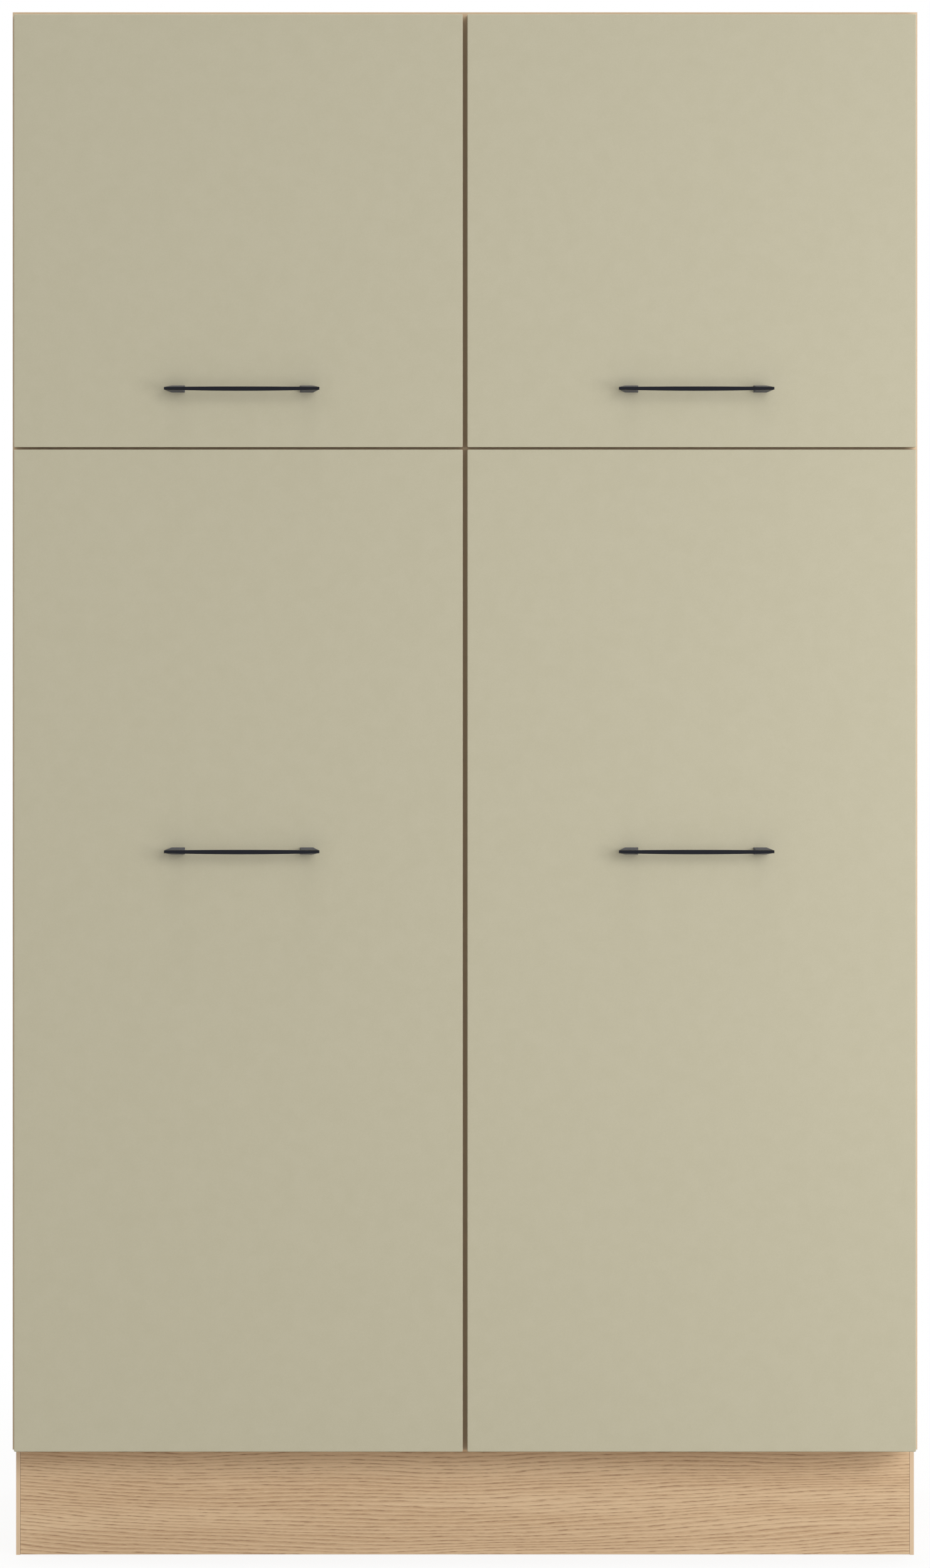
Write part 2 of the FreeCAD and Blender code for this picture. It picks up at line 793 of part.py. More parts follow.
def hinge_cup(hinge_z):
    """Pressed cup with two screw wings, two push-in plugs and the pins of the links."""
    into_door = BACK * -1
    mouth = Vec(cup_x, door_back_y, hinge_z)
    body = rod(cup_radius - cup_play, mouth, into_door, cup_depth)
    shapes = [body]
    cavity_radius = cup_radius - cup_play - cup_wall
    for way in (-1, 1):
        wing_z = sorted((hinge_z + way * wing_start, hinge_z + way * wing_end))
        shapes.append(block(cup_x - wing_inner_reach, cup_x + wing_outer_reach, door_back_y,
                            door_back_y + wing_thickness, wing_z[0], wing_z[1]))
        plug = Vec(cup_x + plug_offset, door_back_y, hinge_z + way * plug_spacing / 2)
        shapes.append(rod(plug_radius - cup_play, plug, into_door, plug_depth))
    cavity = rod(cavity_radius, mouth + BACK * wing_thickness, into_door,
                 cup_depth - cup_floor + wing_thickness)
    shell = merged(shapes).cut(cavity)
    middle_of_wall = rod(cavity_radius + cup_wall / 2, mouth, into_door, cup_depth)
    low = hinge_z - cup_radius
    high = hinge_z + cup_radius
    spans = ((outer_cup_pivot, low, hinge_z - outer_link_start),
             (outer_cup_pivot, hinge_z + outer_link_start, high),
             (inner_cup_pivot, low, high))
    pins = [pivot_rod(place, pin_radius, z0, z1).common(middle_of_wall) for place, z0, z1 in spans]
    return merged([shell] + pins)


# Doors and handles
def door_centre(side):
    """Middle of a door; side is -1 for the left carcass and 1 for the right one."""
    return -side * (door_left + door_right) / 2


def handle_screw_places(side):
    centre = door_centre(side) + handle_side_shift
    return (centre - handle_hole_spacing / 2, centre + handle_hole_spacing / 2)


def door_panel(side, bottom, top, hinge_zs, handle_z):
    """Slab door with soft front edges, bored for its cups, plugs and handle screws."""
    solid = block(door_left, door_right, door_front_y, door_back_y, bottom, top)
    uprights = [edge for edge in solid.Edges if abs(edge.tangentAt(edge.FirstParameter).y) > 0.5]
    solid = solid.makeFillet(door_corner_radius, uprights)
    front = [edge for edge in solid.Edges if abs(edge.BoundBox.YMax - door_front_y) < same_plane]
    solid = solid.makeFillet(door_edge_radius, front)
    into_door = BACK * -1
    cutters = []
    for hinge_z in hinge_zs:
        mouth = Vec(cup_x, door_back_y, hinge_z)
        cutters.append(rod(cup_radius, mouth, into_door, cup_depth + cup_bore_play))
        for way in (-1, 1):
            plug = Vec(cup_x + plug_offset, door_back_y, hinge_z + way * plug_spacing / 2)
            cutters.append(rod(plug_radius, plug, into_door, plug_depth + cup_bore_play))
    solid = solid.cut(cutters)
    if side > 0:
        solid = mirrored([solid])[0]
    holes = [rod(handle_screw_radius + handle_screw_door_play, Vec(x, door_back_y, handle_z), into_door,
                 door_thickness)
             for x in handle_screw_places(side)]
    return solid.cut(holes)


def handle_bar():
    """Slim bar of the handle seen from the front, bowed below and nearly straight on top."""
    half = handle_length / 2
    top = handle_bar_height / 2
    low = -handle_bar_height / 2
    end_top = top - handle_top_bow
    end_low = end_top - handle_bar_end_height
    y = -handle_reach
    left_top, right_top = Vec(-half, y, end_top), Vec(half, y, end_top)
    left_low, right_low = Vec(-half, y, end_low), Vec(half, y, end_low)
    edges = [Part.Arc(left_top, Vec(0, y, top), right_top).toShape(),
             Part.makeLine(right_top, right_low),
             Part.Arc(right_low, Vec(0, y, low), left_low).toShape(),
             Part.makeLine(left_low, left_top)]
    solid = Part.Face(Part.Wire(edges)).extrude(BACK * handle_bar_depth)
    front = [edge for edge in solid.Edges if abs(edge.BoundBox.YMax + handle_reach) < same_plane]
    return solid.makeFillet(handle_bar_edge_radius, front)


def handle_foot(way):
    """Foot that flares towards the door, with its outer corners cut away."""
    middle = handle_bar_height / 2 - handle_top_bow - handle_bar_end_height / 2
    near = handle_foot_start
    far = near + handle_foot_length
    end = handle_length / 2
    door_outline = foot_outline(near, far, handle_foot_height / 2, handle_foot_corner, 0)
    neck_outline = foot_outline(near + handle_neck_lead, end, handle_neck_height / 2,
                                handle_neck_corner, middle)
    wires = []
    for outline, y in ((door_outline, 0.0), (neck_outline, handle_bar_depth - handle_reach)):
        corners = [Vec(way * x, y, z) for x, z in outline]
        wires.append(Part.makePolygon(corners + corners[:1]))
    return Part.makeLoft(wires, True, True)


def foot_outline(near, far, half_height, corner, middle):
    """Rectangle with two cut corners on its outer end."""
    low = middle - half_height
    high = middle + half_height
    return [(near, low), (far - corner, low), (far, low + corner),
            (far, high - corner), (far - corner, high), (near, high)]


def handle(side, handle_z):
    """One-piece bow handle on the front of a door."""
    solid = merged([handle_bar(), handle_foot(-1), handle_foot(1)])
    solid.translate(Vec(door_centre(side) + handle_side_shift, door_front_y, handle_z))
    holes = [rod(handle_screw_radius + handle_screw_play, Vec(x, door_front_y, handle_z), BACK * -1,
                 handle_screw_depth)
             for x in handle_screw_places(side)]
    return solid.cut(holes)


def handle_screws(side, handle_z):
    length = door_thickness + handle_screw_depth - handle_screw_play
    return [screw(Vec(x, door_back_y, handle_z), BACK, handle_screw_head_radius, handle_screw_head_height,
                  handle_screw_radius, length)
            for x in handle_screw_places(side)]


def save_carcass():
    save_pair("outer_side", outer_side())
    save_pair("inner_side", inner_side())
    save_pair("top", top_board())
    save_pair("bottom", bottom_board())
    save_pair("fixed_shelf", divide_board())
    save_pair("back", back_board())
    names = ["upper_shelf"] + ["lower_shelf_%d" % (step + 1) for step in range(lower_shelf_count)]
    for name, level in zip(names, shelf_levels()):
        save_pair(name, loose_shelf(level))
    save("plinth_board", [plinth_board()])
    save("plinth_brackets", on_both_sides(plinth_brackets()))
    save("wall_brackets", on_both_sides(wall_brackets()))
    save("bracket_screws", on_both_sides(bracket_screws()))
    save("shelf_pegs", on_both_sides(shelf_pegs()))
    save("cam_locks", on_both_sides(cam_locks()))
    save("cam_bolts", on_both_sides(cam_bolts()))
    save("dowels", on_both_sides(dowels()))
    save("module_connectors", module_connectors())
    save("door_bumpers", on_both_sides(door_bumpers()))


def save_hinges():
    plates = [mounting_plate(hinge_z) for hinge_z in all_hinges]
    arms = [hinge_arm(hinge_z) for hinge_z in all_hinges]
    screws = [fixing for hinge_z in all_hinges for fixing in plate_screws(hinge_z)]
    pins = [pin for hinge_z in all_hinges for pin in arm_pins(hinge_z)]
    save("hinge_mounting_plates", on_both_sides(plates))
    save("hinge_arms", on_both_sides(arms))
    save("mounting_plate_screws", on_both_sides(screws))
    save("hinge_arm_pins", on_both_sides(pins))
    save("hinge_arm_screws", on_both_sides([arm_screw(hinge_z) for hinge_z in all_hinges]))


def save_door(name, side, bottom, top, hinge_zs, handle_z):
    """Everything of one door: slab, handle and screws, cups and the links of its hinges."""
    cups = [hinge_cup(hinge_z) for hinge_z in hinge_zs]
    outer = [outer_link(hinge_z) for hinge_z in hinge_zs]
    inner = [inner_link(hinge_z) for hinge_z in hinge_zs]
    if side > 0:
        cups, outer, inner = mirrored(cups), mirrored(outer), mirrored(inner)
    save(name + "_door", [door_panel(side, bottom, top, hinge_zs, handle_z)])
    save(name + "_handle", [handle(side, handle_z)])
    save(name + "_handle_screws", handle_screws(side, handle_z))
    save(name + "_hinge_cups", cups)
    save(name + "_outer_links", outer)
    save(name + "_inner_links", inner)


def main():
    os.makedirs("parts", exist_ok=True)
    save_carcass()
    save_hinges()
    for side, half in ((-1, "left"), (1, "right")):
        save_door("upper_" + half, side, upper_door_bottom, upper_door_top, upper_hinges,
                  upper_door_bottom + upper_handle_rise)
        save_door("lower_" + half, side, lower_door_bottom, lower_door_top, lower_hinges,
                  lower_door_bottom + lower_handle_rise)


main()
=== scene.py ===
"""Looks of a tall four-door linen cabinet: sage foil fronts, oak-print boards, black bow handles."""
import json
import math
import bpy
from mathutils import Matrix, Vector


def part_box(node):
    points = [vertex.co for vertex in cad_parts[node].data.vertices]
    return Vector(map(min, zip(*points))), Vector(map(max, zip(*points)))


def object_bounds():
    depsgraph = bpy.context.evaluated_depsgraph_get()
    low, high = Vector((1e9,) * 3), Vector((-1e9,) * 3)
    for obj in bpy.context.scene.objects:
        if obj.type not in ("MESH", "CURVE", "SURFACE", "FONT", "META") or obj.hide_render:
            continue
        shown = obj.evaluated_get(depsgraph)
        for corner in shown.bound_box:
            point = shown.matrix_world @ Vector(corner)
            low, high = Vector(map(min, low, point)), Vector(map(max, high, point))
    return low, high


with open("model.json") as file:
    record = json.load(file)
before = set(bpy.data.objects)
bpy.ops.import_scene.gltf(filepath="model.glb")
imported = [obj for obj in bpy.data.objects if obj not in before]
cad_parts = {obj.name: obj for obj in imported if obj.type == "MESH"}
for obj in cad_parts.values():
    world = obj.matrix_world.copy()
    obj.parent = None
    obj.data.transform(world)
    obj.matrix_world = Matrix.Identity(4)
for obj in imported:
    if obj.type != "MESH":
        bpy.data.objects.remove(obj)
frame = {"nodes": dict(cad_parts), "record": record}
cad_low, cad_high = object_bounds()
nodes = frame["nodes"]

MM = 0.001

# Camera from the photograph: level, straight ahead, with the frame shifted down; distances in metres
CAMERA_DISTANCE = 7.3
CAMERA_HEIGHT = 1.3965
CAMERA_LENS_MM = 126.7
SENSOR_LONG_SIDE_MM = 36.0
FRAME_SHIFT_DOWN = 0.175
LEVEL_DEGREES = 90.0

# Colours as they look on screen, 0 to 255
SAGE = (188, 182, 158)
SAGE_SHADE = (184, 178, 153)
OAK_PALE = (225, 198, 161)
OAK_LIGHT = (219, 189, 152)
OAK_MID = (207, 176, 141)
OAK_WARM = (201, 168, 131)
OAK_LINE = (163, 127, 94)
OAK_PORE = (140, 106, 78)
OAK_EDGE = (218, 192, 161)
HANDLE_BLACK = (19, 20, 28)
HANDLE_FOOT_SHEEN = (64, 67, 82)
NICKEL = (196, 194, 190)
ZINC = (168, 168, 170)
BEECH = (214, 181, 134)
BUMPER = (225, 225, 220)
BUMPER_HAZE = (238, 238, 236)
FLOOR = (238, 238, 236)
FLOOR_BOUNCE = (180, 179, 177)
WHITE = (1.0, 1.0, 1.0, 1.0)

# Sockets taken by number, because their names repeat on the node: the colour Mix's, then the Mix Shader's
MIX_SHARE = 0
MIX_FIRST = 6
MIX_SECOND = 7
MIX_RESULT = 2
BLEND_SHARE = 0
BLEND_FIRST = 1
BLEND_SECOND = 2

NOISE_MIDDLE = 0.5


def linear(colour):
    """Screen colour to the linear light values that shaders use."""
    values = []
    for channel in colour:
        share = channel / 255
        values.append(share / 12.92 if share <= 0.04045 else ((share + 0.055) / 1.055) ** 2.4)
    return (*values, 1.0)


def shifted(colour, step):
    """Screen colour with every channel moved by the same step."""
    return tuple(channel + step for channel in colour)


class Wire:
    """One output of a shader node that can be used in plain sums."""

    def __init__(self, finish, socket):
        self.finish = finish
        self.socket = socket

    def __add__(self, other):
        return self.finish.maths("ADD", self, other)

    __radd__ = __add__

    def __sub__(self, other):
        return self.finish.maths("SUBTRACT", self, other)

    def __rsub__(self, other):
        return self.finish.maths("SUBTRACT", other, self)

    def __mul__(self, other):
        return self.finish.maths("MULTIPLY", self, other)

    __rmul__ = __mul__

    def __truediv__(self, other):
        return self.finish.maths("DIVIDE", self, other)

    def __rtruediv__(self, other):
        return self.finish.maths("DIVIDE", other, self)

    def __pow__(self, other):
        return self.finish.maths("POWER", self, other)

    def __rpow__(self, other):
        return self.finish.maths("POWER", other, self)

    def __gt__(self, other):
        return self.finish.maths("GREATER_THAN", self, other)

    def __lt__(self, other):
        return self.finish.maths("LESS_THAN", self, other)

    def swing(self, width):
        """A noise, 0 to 1, as a swing round zero."""
        return (self - NOISE_MIDDLE) * width

    def lift(self, least):
        """A mask, 0 to 1, raised so that it never falls below least."""
        return least + self * (1 - least)


class Finish:
    """A node tree and the one way that nodes are added to it."""

    def __init__(self, tree):
        self.tree = tree
        tree.nodes.clear()

    def node(self, kind, settings, inputs, output=0):
        """Adds a node: its settings first, then the values or links of its sockets."""
        made = self.tree.nodes.new(kind)
        for name, value in settings.items():
            setattr(made, name, value)
        for name, value in inputs.items():
            if isinstance(value, Wire):
                self.tree.links.new(value.socket, made.inputs[name])
            else:
                made.inputs[name].default_value = value
        return Wire(self, made.outputs[output]) if made.outputs else None

    def maths(self, operation, *values):
        """One step of a sum."""
        return self.node("ShaderNodeMath", {"operation": operation}, dict(enumerate(values)))

    def mix(self, share, first, second):
        """Blend of two colours."""
        inputs = {MIX_SHARE: share, MIX_FIRST: first, MIX_SECOND: second}
        return self.node("ShaderNodeMix", {"data_type": "RGBA"}, inputs, MIX_RESULT)

    def blend(self, share, first, second):
        """Blend of two shaders."""
        inputs = {BLEND_SHARE: share, BLEND_FIRST: first, BLEND_SECOND: second}
        return self.node("ShaderNodeMixShader", {}, inputs)

    def join(self, x, y, z):
        """Vector from three values."""
        return self.node("ShaderNodeCombineXYZ", {}, {"X": x, "Y": y, "Z": z})

    def split(self, vector):
        """X, Y and Z of a vector."""
        parted = self.node("ShaderNodeSeparateXYZ", {}, {"Vector": vector})
        return [Wire(self, parted.socket.node.outputs[axis]) for axis in "XYZ"]

    def noise(self, place, scale=1.0, detail=2.0, roughness=0.5):
        """Soft noise, 0 to 1, with scale waves to the unit of place."""
        inputs = {"Vector": place, "Scale": scale, "Detail": detail, "Roughness": roughness}
        return self.node("ShaderNodeTexNoise", {}, inputs)

    def smooth(self, value, low, high):
        """Soft step from 0 at low to 1 at high."""
        inputs = {"Value": value, "From Min": low, "From Max": high}
        return self.node("ShaderNodeMapRange", {"interpolation_type": "SMOOTHSTEP"}, inputs)

    def band(self, value, rise, fall):
        """Soft band: up from the first to the second value of rise, down between those of fall."""
        return self.smooth(value, *rise) * (1 - self.smooth(value, *fall))

    def bump(self, height, distance, strength):
        """Surface direction of small hills."""
        inputs = {"Strength": strength, "Distance": distance, "Height": height}
        return self.node("ShaderNodeBump", {}, inputs)

    def place(self):
        """Position in the object, in metres, riding with its body."""
        return self.node("ShaderNodeTexCoord", {}, {}, "Object")

    def facing(self):
        """Surface direction in the object."""
        return self.node("ShaderNodeTexCoord", {}, {}, "Normal")

    def chance(self):
        """A number, 0 to 1, that differs from piece to piece."""
        return self.node("ShaderNodeObjectInfo", {}, {}, "Random")

    def seen_directly(self):
        """1 for rays of the camera and of mirror or clear surfaces."""
        rays = self.node("ShaderNodeLightPath", {}, {}).socket.node.outputs
        total = Wire(self, rays["Is Camera Ray"])
        for name in ("Is Glossy Ray", "Is Transmission Ray"):
            total = total + Wire(self, rays[name])
        return self.maths("MINIMUM", total, 1.0)

    def surface(self, inputs):
        """Ends the tree with one principled surface."""
        shader = self.node("ShaderNodeBsdfPrincipled", {}, inputs)
        self.node("ShaderNodeOutputMaterial", {}, {"Surface": shader})


def new_finish(name):
    """Empty material and the finish that fills it."""
    material = bpy.data.materials.new(name)
    material.use_nodes = True
    return material, Finish(material.node_tree)


# Sage foil: noise in waves per metre
FOIL_MOTTLE_WAVES = 60.0
FOIL_SPECK_WAVES = 900.0
FOIL_PEBBLE_WAVES = 1400.0
FOIL_MOTTLE_SHARE = 0.4
FOIL_ROUGHNESS = 0.5
FOIL_SHINE = 0.35
FOIL_PEBBLE_HEIGHT = 0.02 * MM


def sage_foil():
    """Matt foil on fibreboard: an even tone with a fine pebbled skin."""
    material, paint = new_finish("sage_foil")
    place = paint.place()
    mottle = paint.noise(place, FOIL_MOTTLE_WAVES, detail=3.0)
    speck = paint.noise(place, FOIL_SPECK_WAVES)
    pebble = paint.noise(place, FOIL_PEBBLE_WAVES, roughness=0.6)
    tone = mottle * FOIL_MOTTLE_SHARE + speck * (1 - FOIL_MOTTLE_SHARE)
    paint.surface({
        "Base Color": paint.mix(paint.smooth(tone, low=0.3, high=0.7), linear(SAGE_SHADE), linear(SAGE)),
        "Roughness": FOIL_ROUGHNESS + mottle.swing(width=0.08) + speck.swing(width=0.06),
        "Specular IOR Level": FOIL_SHINE,
        "Normal": paint.bump(pebble, FOIL_PEBBLE_HEIGHT, strength=0.35),
    })
    return material


# Oak print: lengths in metres, and how strongly each mark shows
RING_SPACING = 5.1 * MM
BOARD_SHIFT_ALONG = 7.0
BOARD_SHIFT_ACROSS = 3.0
FIBRE_TONE = 0.6
EARLY_TONE = 0.55
FLECK_TONE = 0.3
LINE_TONE = 0.52
PORE_TONE = 0.3
PORE_TONE_GAIN = 0.45
EDGING_TONE = 0.35
FACES_FRONT = 0.7
OAK_ROUGHNESS = 0.5
OAK_SHINE = 0.35
PORE_ROUGHER = 0.12
PORE_DEPTH = 0.05 * MM
LINE_DEPTH_SHARE = 0.2


def oak_print(name, along, edged):
    """Oak-print melamine with its grain along one axis, and plain edging on the front edges of boards."""
    material, paint = new_finish(name)
    x, y, z = paint.split(paint.place())
    chance = paint.chance()
    run, across = (x, y + z) if along == "X" else (z, x + y)
    run = run + chance * BOARD_SHIFT_ALONG
    across = across + chance * BOARD_SHIFT_ACROSS

    def figure(run_waves, across_waves, layer, detail=2.0):
        """Noise drawn out along the grain, in waves per metre along and across it."""
        return paint.noise(paint.join(run * run_waves, across * across_waves, layer), detail=detail)

    # Growth rings a few millimetres apart, drifting slowly along the board and never quite straight
    drift = figure(run_waves=0.8, across_waves=2.2, layer=0.0)
    sway = figure(run_waves=2.6, across_waves=26.0, layer=1.7)
    wobble = figure(run_waves=22.0, across_waves=160.0, layer=4.4)
    rings = across / RING_SPACING + drift.swing(width=26.0) + sway.swing(width=3.4) + wobble.swing(width=0.6)
    turn = paint.maths("FRACT", rings)
    late = paint.band(turn, rise=(0.5, 0.82), fall=(0.86, 0.98))
    early = paint.band(turn, rise=(0.02, 0.12), fall=(0.2, 0.45))

    # Streaks, fibres and pores along the grain; most pores gather on the late wood of each ring
    streak = figure(run_waves=2.2, across_waves=42.0, layer=9.2, detail=3.0)
    strength = paint.smooth(figure(run_waves=42.0, across_waves=210.0, layer=3.3), low=0.34, high=0.66)
    fibre = figure(run_waves=24.0, across_waves=1100.0, layer=5.1, detail=3.0)
    dash = figure(run_waves=75.0, across_waves=1500.0, layer=0.3)
    fleck = figure(run_waves=130.0, across_waves=1500.0, layer=7.7)
    pore = paint.smooth(dash, low=0.5, high=0.58) * late.lift(least=0.16)
    line = late * strength.lift(least=0.2)

    colour = paint.mix(paint.smooth(streak, low=0.36, high=0.64), linear(OAK_WARM), linear(OAK_LIGHT))
    colour = paint.mix(paint.smooth(fibre, low=0.3, high=0.7) * FIBRE_TONE, colour, linear(OAK_MID))
    pale = early * EARLY_TONE + paint.smooth(fleck, low=0.52, high=0.66) * FLECK_TONE
    colour = paint.mix(pale, colour, linear(OAK_PALE))
    colour = paint.mix(line * LINE_TONE, colour, linear(OAK_LINE))
    colour = paint.mix(pore * (PORE_TONE + strength * PORE_TONE_GAIN), colour, linear(OAK_PORE))
    if edged:
        front = (0 - paint.split(paint.facing())[1]) > FACES_FRONT
        edging_share = paint.smooth(fibre, low=0.2, high=0.8) * EDGING_TONE
        edging = paint.mix(edging_share, linear(OAK_EDGE), linear(OAK_LIGHT))
        colour = paint.mix(front, colour, edging)
    paint.surface({
        "Base Color": colour,
        "Roughness": OAK_ROUGHNESS + fibre.swing(width=0.1) + pore * PORE_ROUGHER,
        "Specular IOR Level": OAK_SHINE,
        "Normal": paint.bump(1 - pore - line * LINE_DEPTH_SHARE, PORE_DEPTH, strength=0.5),
    })
    return material


# Handle coat: black down to the first depth behind the bar's front, a paler slate from the second; the slate
# on the feet is a painted highlight for the light they reflect
COAT_BAR_DEPTH = 7.0 * MM
COAT_SHEEN_FULL_DEPTH = 11.0 * MM
COAT_GRIT_WAVES = 2600.0
COAT_WEAR_WAVES = 160.0
COAT_WEAR_STEP = 9
COAT_WEAR_SHARE = 0.25
COAT_ROUGHNESS = 0.38
COAT_SHINE = 0.15
COAT_GRIT_HEIGHT = 0.015 * MM


def black_coat():
    """Satin powder coat: black on the bar; the feet behind it are painted a paler slate, a painted highlight
    for the light they reflect.
    """
    material, paint = new_finish("black_coat")
    place = paint.place()
    grit = paint.noise(place, COAT_GRIT_WAVES, roughness=0.6)
    wear = paint.noise(place, COAT_WEAR_WAVES, detail=3.0)
    bar_front_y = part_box("upper_left_handle")[0].y
    depth_y = paint.split(place)[1]
    # Painted highlight: the feet behind the bar get a paler slate in place of the light they reflect
    painted_foot_sheen = paint.smooth(depth_y, bar_front_y + COAT_BAR_DEPTH, bar_front_y + COAT_SHEEN_FULL_DEPTH)

    def worn(tint):
        """A coat colour with faint paler patches."""
        return paint.mix(wear * COAT_WEAR_SHARE, linear(tint), linear(shifted(tint, COAT_WEAR_STEP)))

    paint.surface({
        "Base Color": paint.mix(painted_foot_sheen, worn(HANDLE_BLACK), worn(HANDLE_FOOT_SHEEN)),
        "Roughness": COAT_ROUGHNESS + grit.swing(width=0.12) + wear.swing(width=0.1),
        "Specular IOR Level": COAT_SHINE,
        "Normal": paint.bump(grit, COAT_GRIT_HEIGHT, strength=0.5),
    })
    return material


# Metal fittings: noise in waves per metre
METAL_STREAK_WAVES = 90.0
METAL_MOTTLE_WAVES = 320.0
METAL_MOTTLE_STEP = -22
METAL_MOTTLE_SHARE = 0.5
METAL_STREAK_HEIGHT = 0.01 * MM


def plated_metal(name, tint, roughness, fine_waves):
    """Plated or cast fittings with faint drawn streaks, fine_waves to the metre from top to bottom."""
    material, paint = new_finish(name)
    place = paint.place()
    x, y, z = paint.split(place)
    streak = paint.noise(paint.join(x * METAL_STREAK_WAVES, y * METAL_STREAK_WAVES, z * fine_waves))
    mottle = paint.noise(place, METAL_MOTTLE_WAVES)
    darker = shifted(tint, METAL_MOTTLE_STEP)
    paint.surface({
        "Base Color": paint.mix(mottle * METAL_MOTTLE_SHARE, linear(tint), linear(darker)),
        "Metallic": 1.0,
        "Roughness": roughness + streak.swing(width=0.16) + mottle.swing(width=0.08),
        "Normal": paint.bump(streak, METAL_STREAK_HEIGHT, strength=0.4),
    })
    return material


# Beech and bumpers
BEECH_WAVES_ALONG = 60.0
BEECH_WAVES_ACROSS = 900.0
BEECH_ROUGHNESS = 0.6
BEECH_FLECK_DEPTH = 0.03 * MM
BUMPER_HAZE_WAVES = 500.0
BUMPER_HAZE_SHARE = 0.4
BUMPER_ROUGHNESS = 0.35
BUMPER_HAZE_ROUGHER = 0.15


def bare_beech():
    """Plain beech dowels, flecked along their length."""
    material, paint = new_finish("bare_beech")
    x, y, z = paint.split(paint.place())
    fleck = paint.noise(paint.join(x * BEECH_WAVES_ALONG, y * BEECH_WAVES_ACROSS, z * BEECH_WAVES_ACROSS))
    paint.surface({
        "Base Color": paint.mix(paint.smooth(fleck, low=0.35, high=0.7), linear(BEECH), linear(OAK_WARM)),
        "Roughness": BEECH_ROUGHNESS + fleck.swing(width=0.2),
        "Normal": paint.bump(fleck, BEECH_FLECK_DEPTH, strength=0.5),
    })
    return material


def soft_dot():
    """Milky bumper dots."""
    material, paint = new_finish("soft_dot")
    haze = paint.noise(paint.place(), BUMPER_HAZE_WAVES)
    paint.surface({
        "Base Color": paint.mix(haze * BUMPER_HAZE_SHARE, linear(BUMPER), linear(BUMPER_HAZE)),
        "Roughness": BUMPER_ROUGHNESS + haze * BUMPER_HAZE_ROUGHER,
    })
    return material


def dress():
    """Gives every node its finish."""
    upright_oak = oak_print("oak_print_upright", along="Z", edged=True)
    level_oak = oak_print("oak_print_level", along="X", edged=True)
    by_slot = {
        "sage_front": sage_foil(),
        "oak_plinth": oak_print("oak_print_plinth", along="X", edged=False),
        "oak_back": upright_oak,
        "black_handle": black_coat(),
        "hinge_steel": plated_metal("nickel_plate", NICKEL, roughness=0.28, fine_waves=900.0),
        "zinc_fitting": plated_metal("cast_zinc", ZINC, roughness=0.45, fine_waves=200.0),
        "beech_dowel": bare_beech(),
        "clear_bumper": soft_dot(),
    }
    slots = {part["node"]: part["material_slot"] for part in frame["record"]["subparts"]}
    for name, piece in nodes.items():
        if slots[name] == "oak_board":
            finish = upright_oak if name.endswith("_side") else level_oak
        else:
            finish = by_slot[slots[name]]
        piece.data.materials.clear()
        piece.data.materials.append(finish)


# Stage and light: lengths in metres
FLOOR_SIZE = 14.0
FLOOR_DROP = 0.5 * MM
FLOOR_WHITE_NEAR = 0.88
FLOOR_FADE_START = 0.75
FLOOR_FADE_END = 1.7
UNDER_SHADE = 0.7
UNDER_SIDE_FADE = 0.12
UNDER_FRONT_FADE = 0.02
UNDER_BACK_FADE = 0.2
FILL_HEIGHT = 1.1


def studio_floor():
    """Pale floor that fades to white away from the cabinet and keeps its shadow near it."""
    bpy.ops.mesh.primitive_plane_add(size=FLOOR_SIZE, location=(0.0, 0.0, -FLOOR_DROP))
    floor = bpy.context.object
    floor.name = "studio_floor"
    material, paint = new_finish("pale_floor")
    x, y = paint.split(paint.place())[:2]
    away = (x * x + y * y) ** 0.5
    # Under the cabinet, behind the plinth board, the floor is left to its own shade
    plinth_back_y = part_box("plinth_board")[1].y
    between_sides = paint.band(x, rise=(cad_low.x, cad_low.x + UNDER_SIDE_FADE),
                               fall=(cad_high.x - UNDER_SIDE_FADE, cad_high.x))
    behind_plinth = paint.band(y, rise=(plinth_back_y, plinth_back_y + UNDER_FRONT_FADE),
                               fall=(cad_high.y - UNDER_BACK_FADE, cad_high.y))
    open_floor = 1 - between_sides * behind_plinth * UNDER_SHADE
    whiteness = paint.smooth(away, FLOOR_FADE_START, FLOOR_FADE_END).lift(FLOOR_WHITE_NEAR) * open_floor
    # As a source of bounced light, the floor is a plain grey
    pale = paint.node("ShaderNodeBsdfDiffuse", {}, {"Color": linear(FLOOR)})
    grey = paint.node("ShaderNodeBsdfDiffuse", {}, {"Color": linear(FLOOR_BOUNCE)})
    white = paint.node("ShaderNodeEmission", {}, {"Color": WHITE, "Strength": 1.0})
    shader = paint.blend(paint.seen_directly(), grey, paint.blend(whiteness, pale, white))
    paint.node("ShaderNodeOutputMaterial", {}, {"Surface": shader})
    floor.data.materials.append(material)


def white_world(strength):
    """White to the eye, softer as light."""
    world = bpy.data.worlds.new("studio")
    bpy.context.scene.world = world
    world.use_nodes = True
    paint = Finish(world.node_tree)
    soft = paint.node("ShaderNodeBackground", {}, {"Color": WHITE, "Strength": strength})
    white = paint.node("ShaderNodeBackground", {}, {"Color": WHITE, "Strength": 1.0})
    paint.node("ShaderNodeOutputWorld", {}, {"Surface": paint.blend(paint.seen_directly(), soft, white)})


def hang(name, fitting):
    """Puts a lamp or the camera into the scene."""
    holder = bpy.data.objects.new(name, fitting)
    bpy.context.scene.collection.objects.link(holder)
    return holder


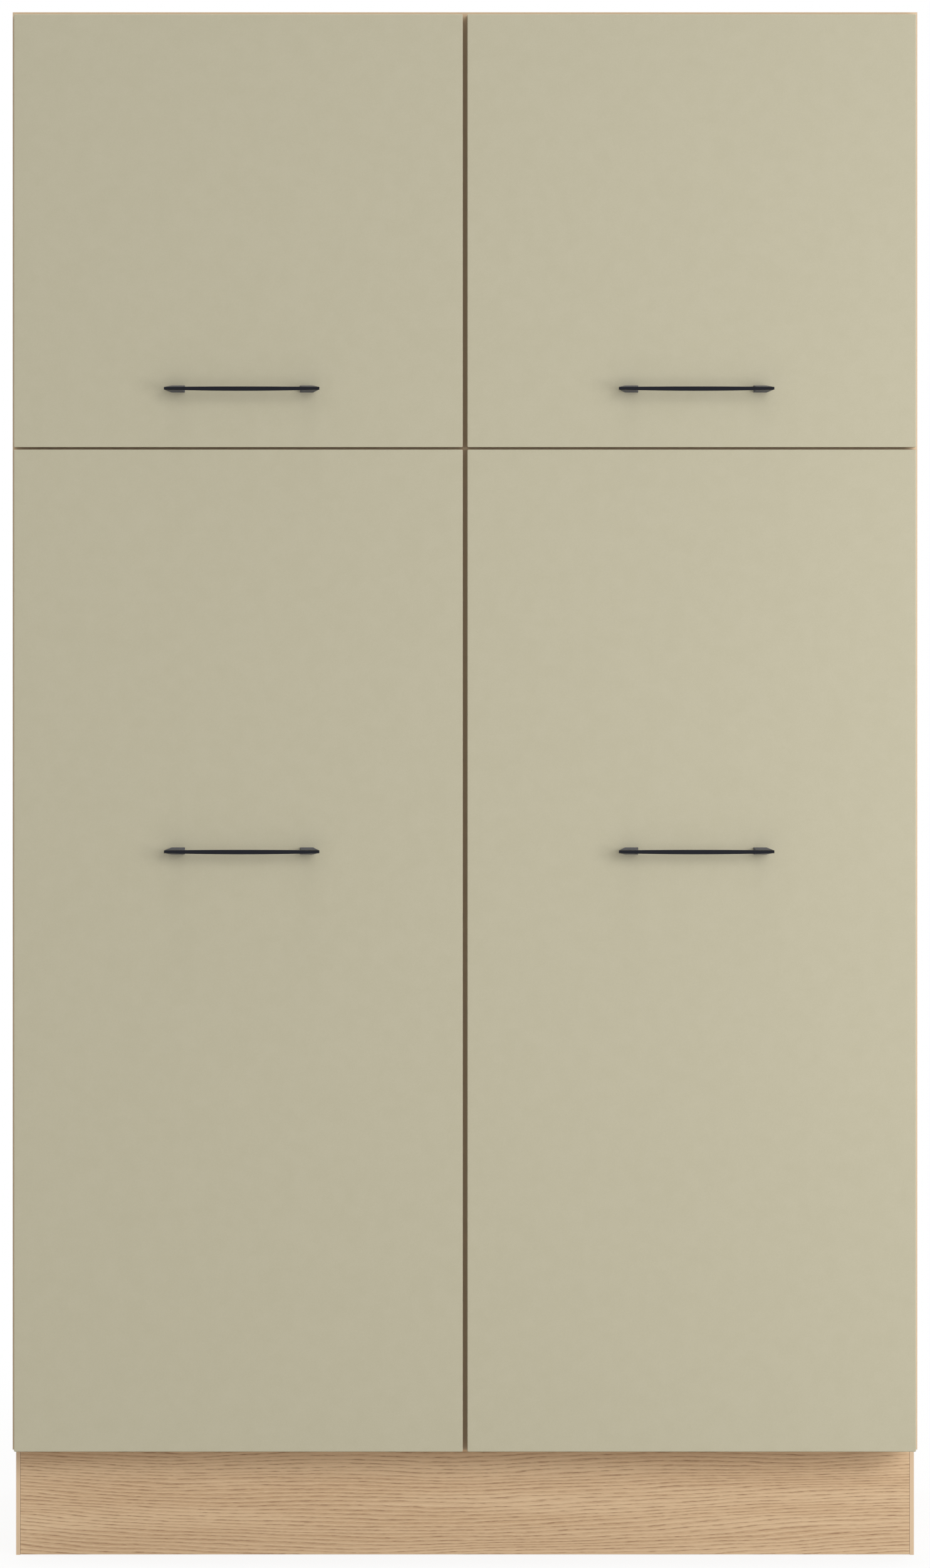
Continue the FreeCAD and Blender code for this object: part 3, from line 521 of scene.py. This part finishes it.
def soft_box(name, place, target, width, height, power):
    """Rectangular studio light aimed at a point."""
    lamp = bpy.data.lights.new(name, "AREA")
    lamp.shape = "RECTANGLE"
    lamp.size = width
    lamp.size_y = height
    lamp.energy = power
    holder = hang(name, lamp)
    holder.location = place
    aim = Vector(target) - Vector(place)
    holder.rotation_euler = aim.to_track_quat("-Z", "Y").to_euler()


def far_lamp(name, right, up, spread, strength):
    """Soft light from far away: degrees to the right of the front, degrees up, and degrees of spread."""
    lamp = bpy.data.lights.new(name, "SUN")
    lamp.energy = strength
    lamp.angle = math.radians(spread)
    hang(name, lamp).rotation_euler = (math.radians(LEVEL_DEGREES - up), 0.0, math.radians(right))


def studio_light():
    """Soft light on every side at a plain level, a little stronger from the right."""
    white_world(strength=0.5)
    far_lamp("key_light", right=30.0, up=21.0, spread=30.0, strength=0.84)
    far_lamp("left_light", right=-106.0, up=16.0, spread=30.0, strength=1.0)
    far_lamp("top_light", right=0.0, up=88.0, spread=24.0, strength=0.8)
    far_lamp("back_light", right=165.0, up=22.0, spread=60.0, strength=1.2)
    soft_box("side_fill", place=(3.4, -3.2, FILL_HEIGHT), target=(0.4, cad_low.y, FILL_HEIGHT),
             width=1.6, height=2.4, power=72.0)
    soft_box("edge_fill", place=(1.75, -1.35, 1.25), target=(0.5, cad_low.y, 1.2),
             width=0.5, height=0.8, power=3.0)


def photo_camera():
    """Camera that sees the cabinet as the photograph does."""
    lens = bpy.data.cameras.new("photo_camera")
    lens.sensor_fit = "AUTO"
    lens.sensor_width = SENSOR_LONG_SIDE_MM
    lens.lens = CAMERA_LENS_MM
    lens.shift_y = -FRAME_SHIFT_DOWN
    camera = hang("photo_camera", lens)
    door_front_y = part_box("upper_left_door")[0].y
    camera.location = (0.0, door_front_y - CAMERA_DISTANCE, CAMERA_HEIGHT)
    camera.rotation_euler = (math.radians(LEVEL_DEGREES), 0.0, 0.0)
    bpy.context.scene.camera = camera


dress()
studio_floor()
studio_light()
photo_camera()
bpy.context.scene.view_settings.view_transform = "Standard"
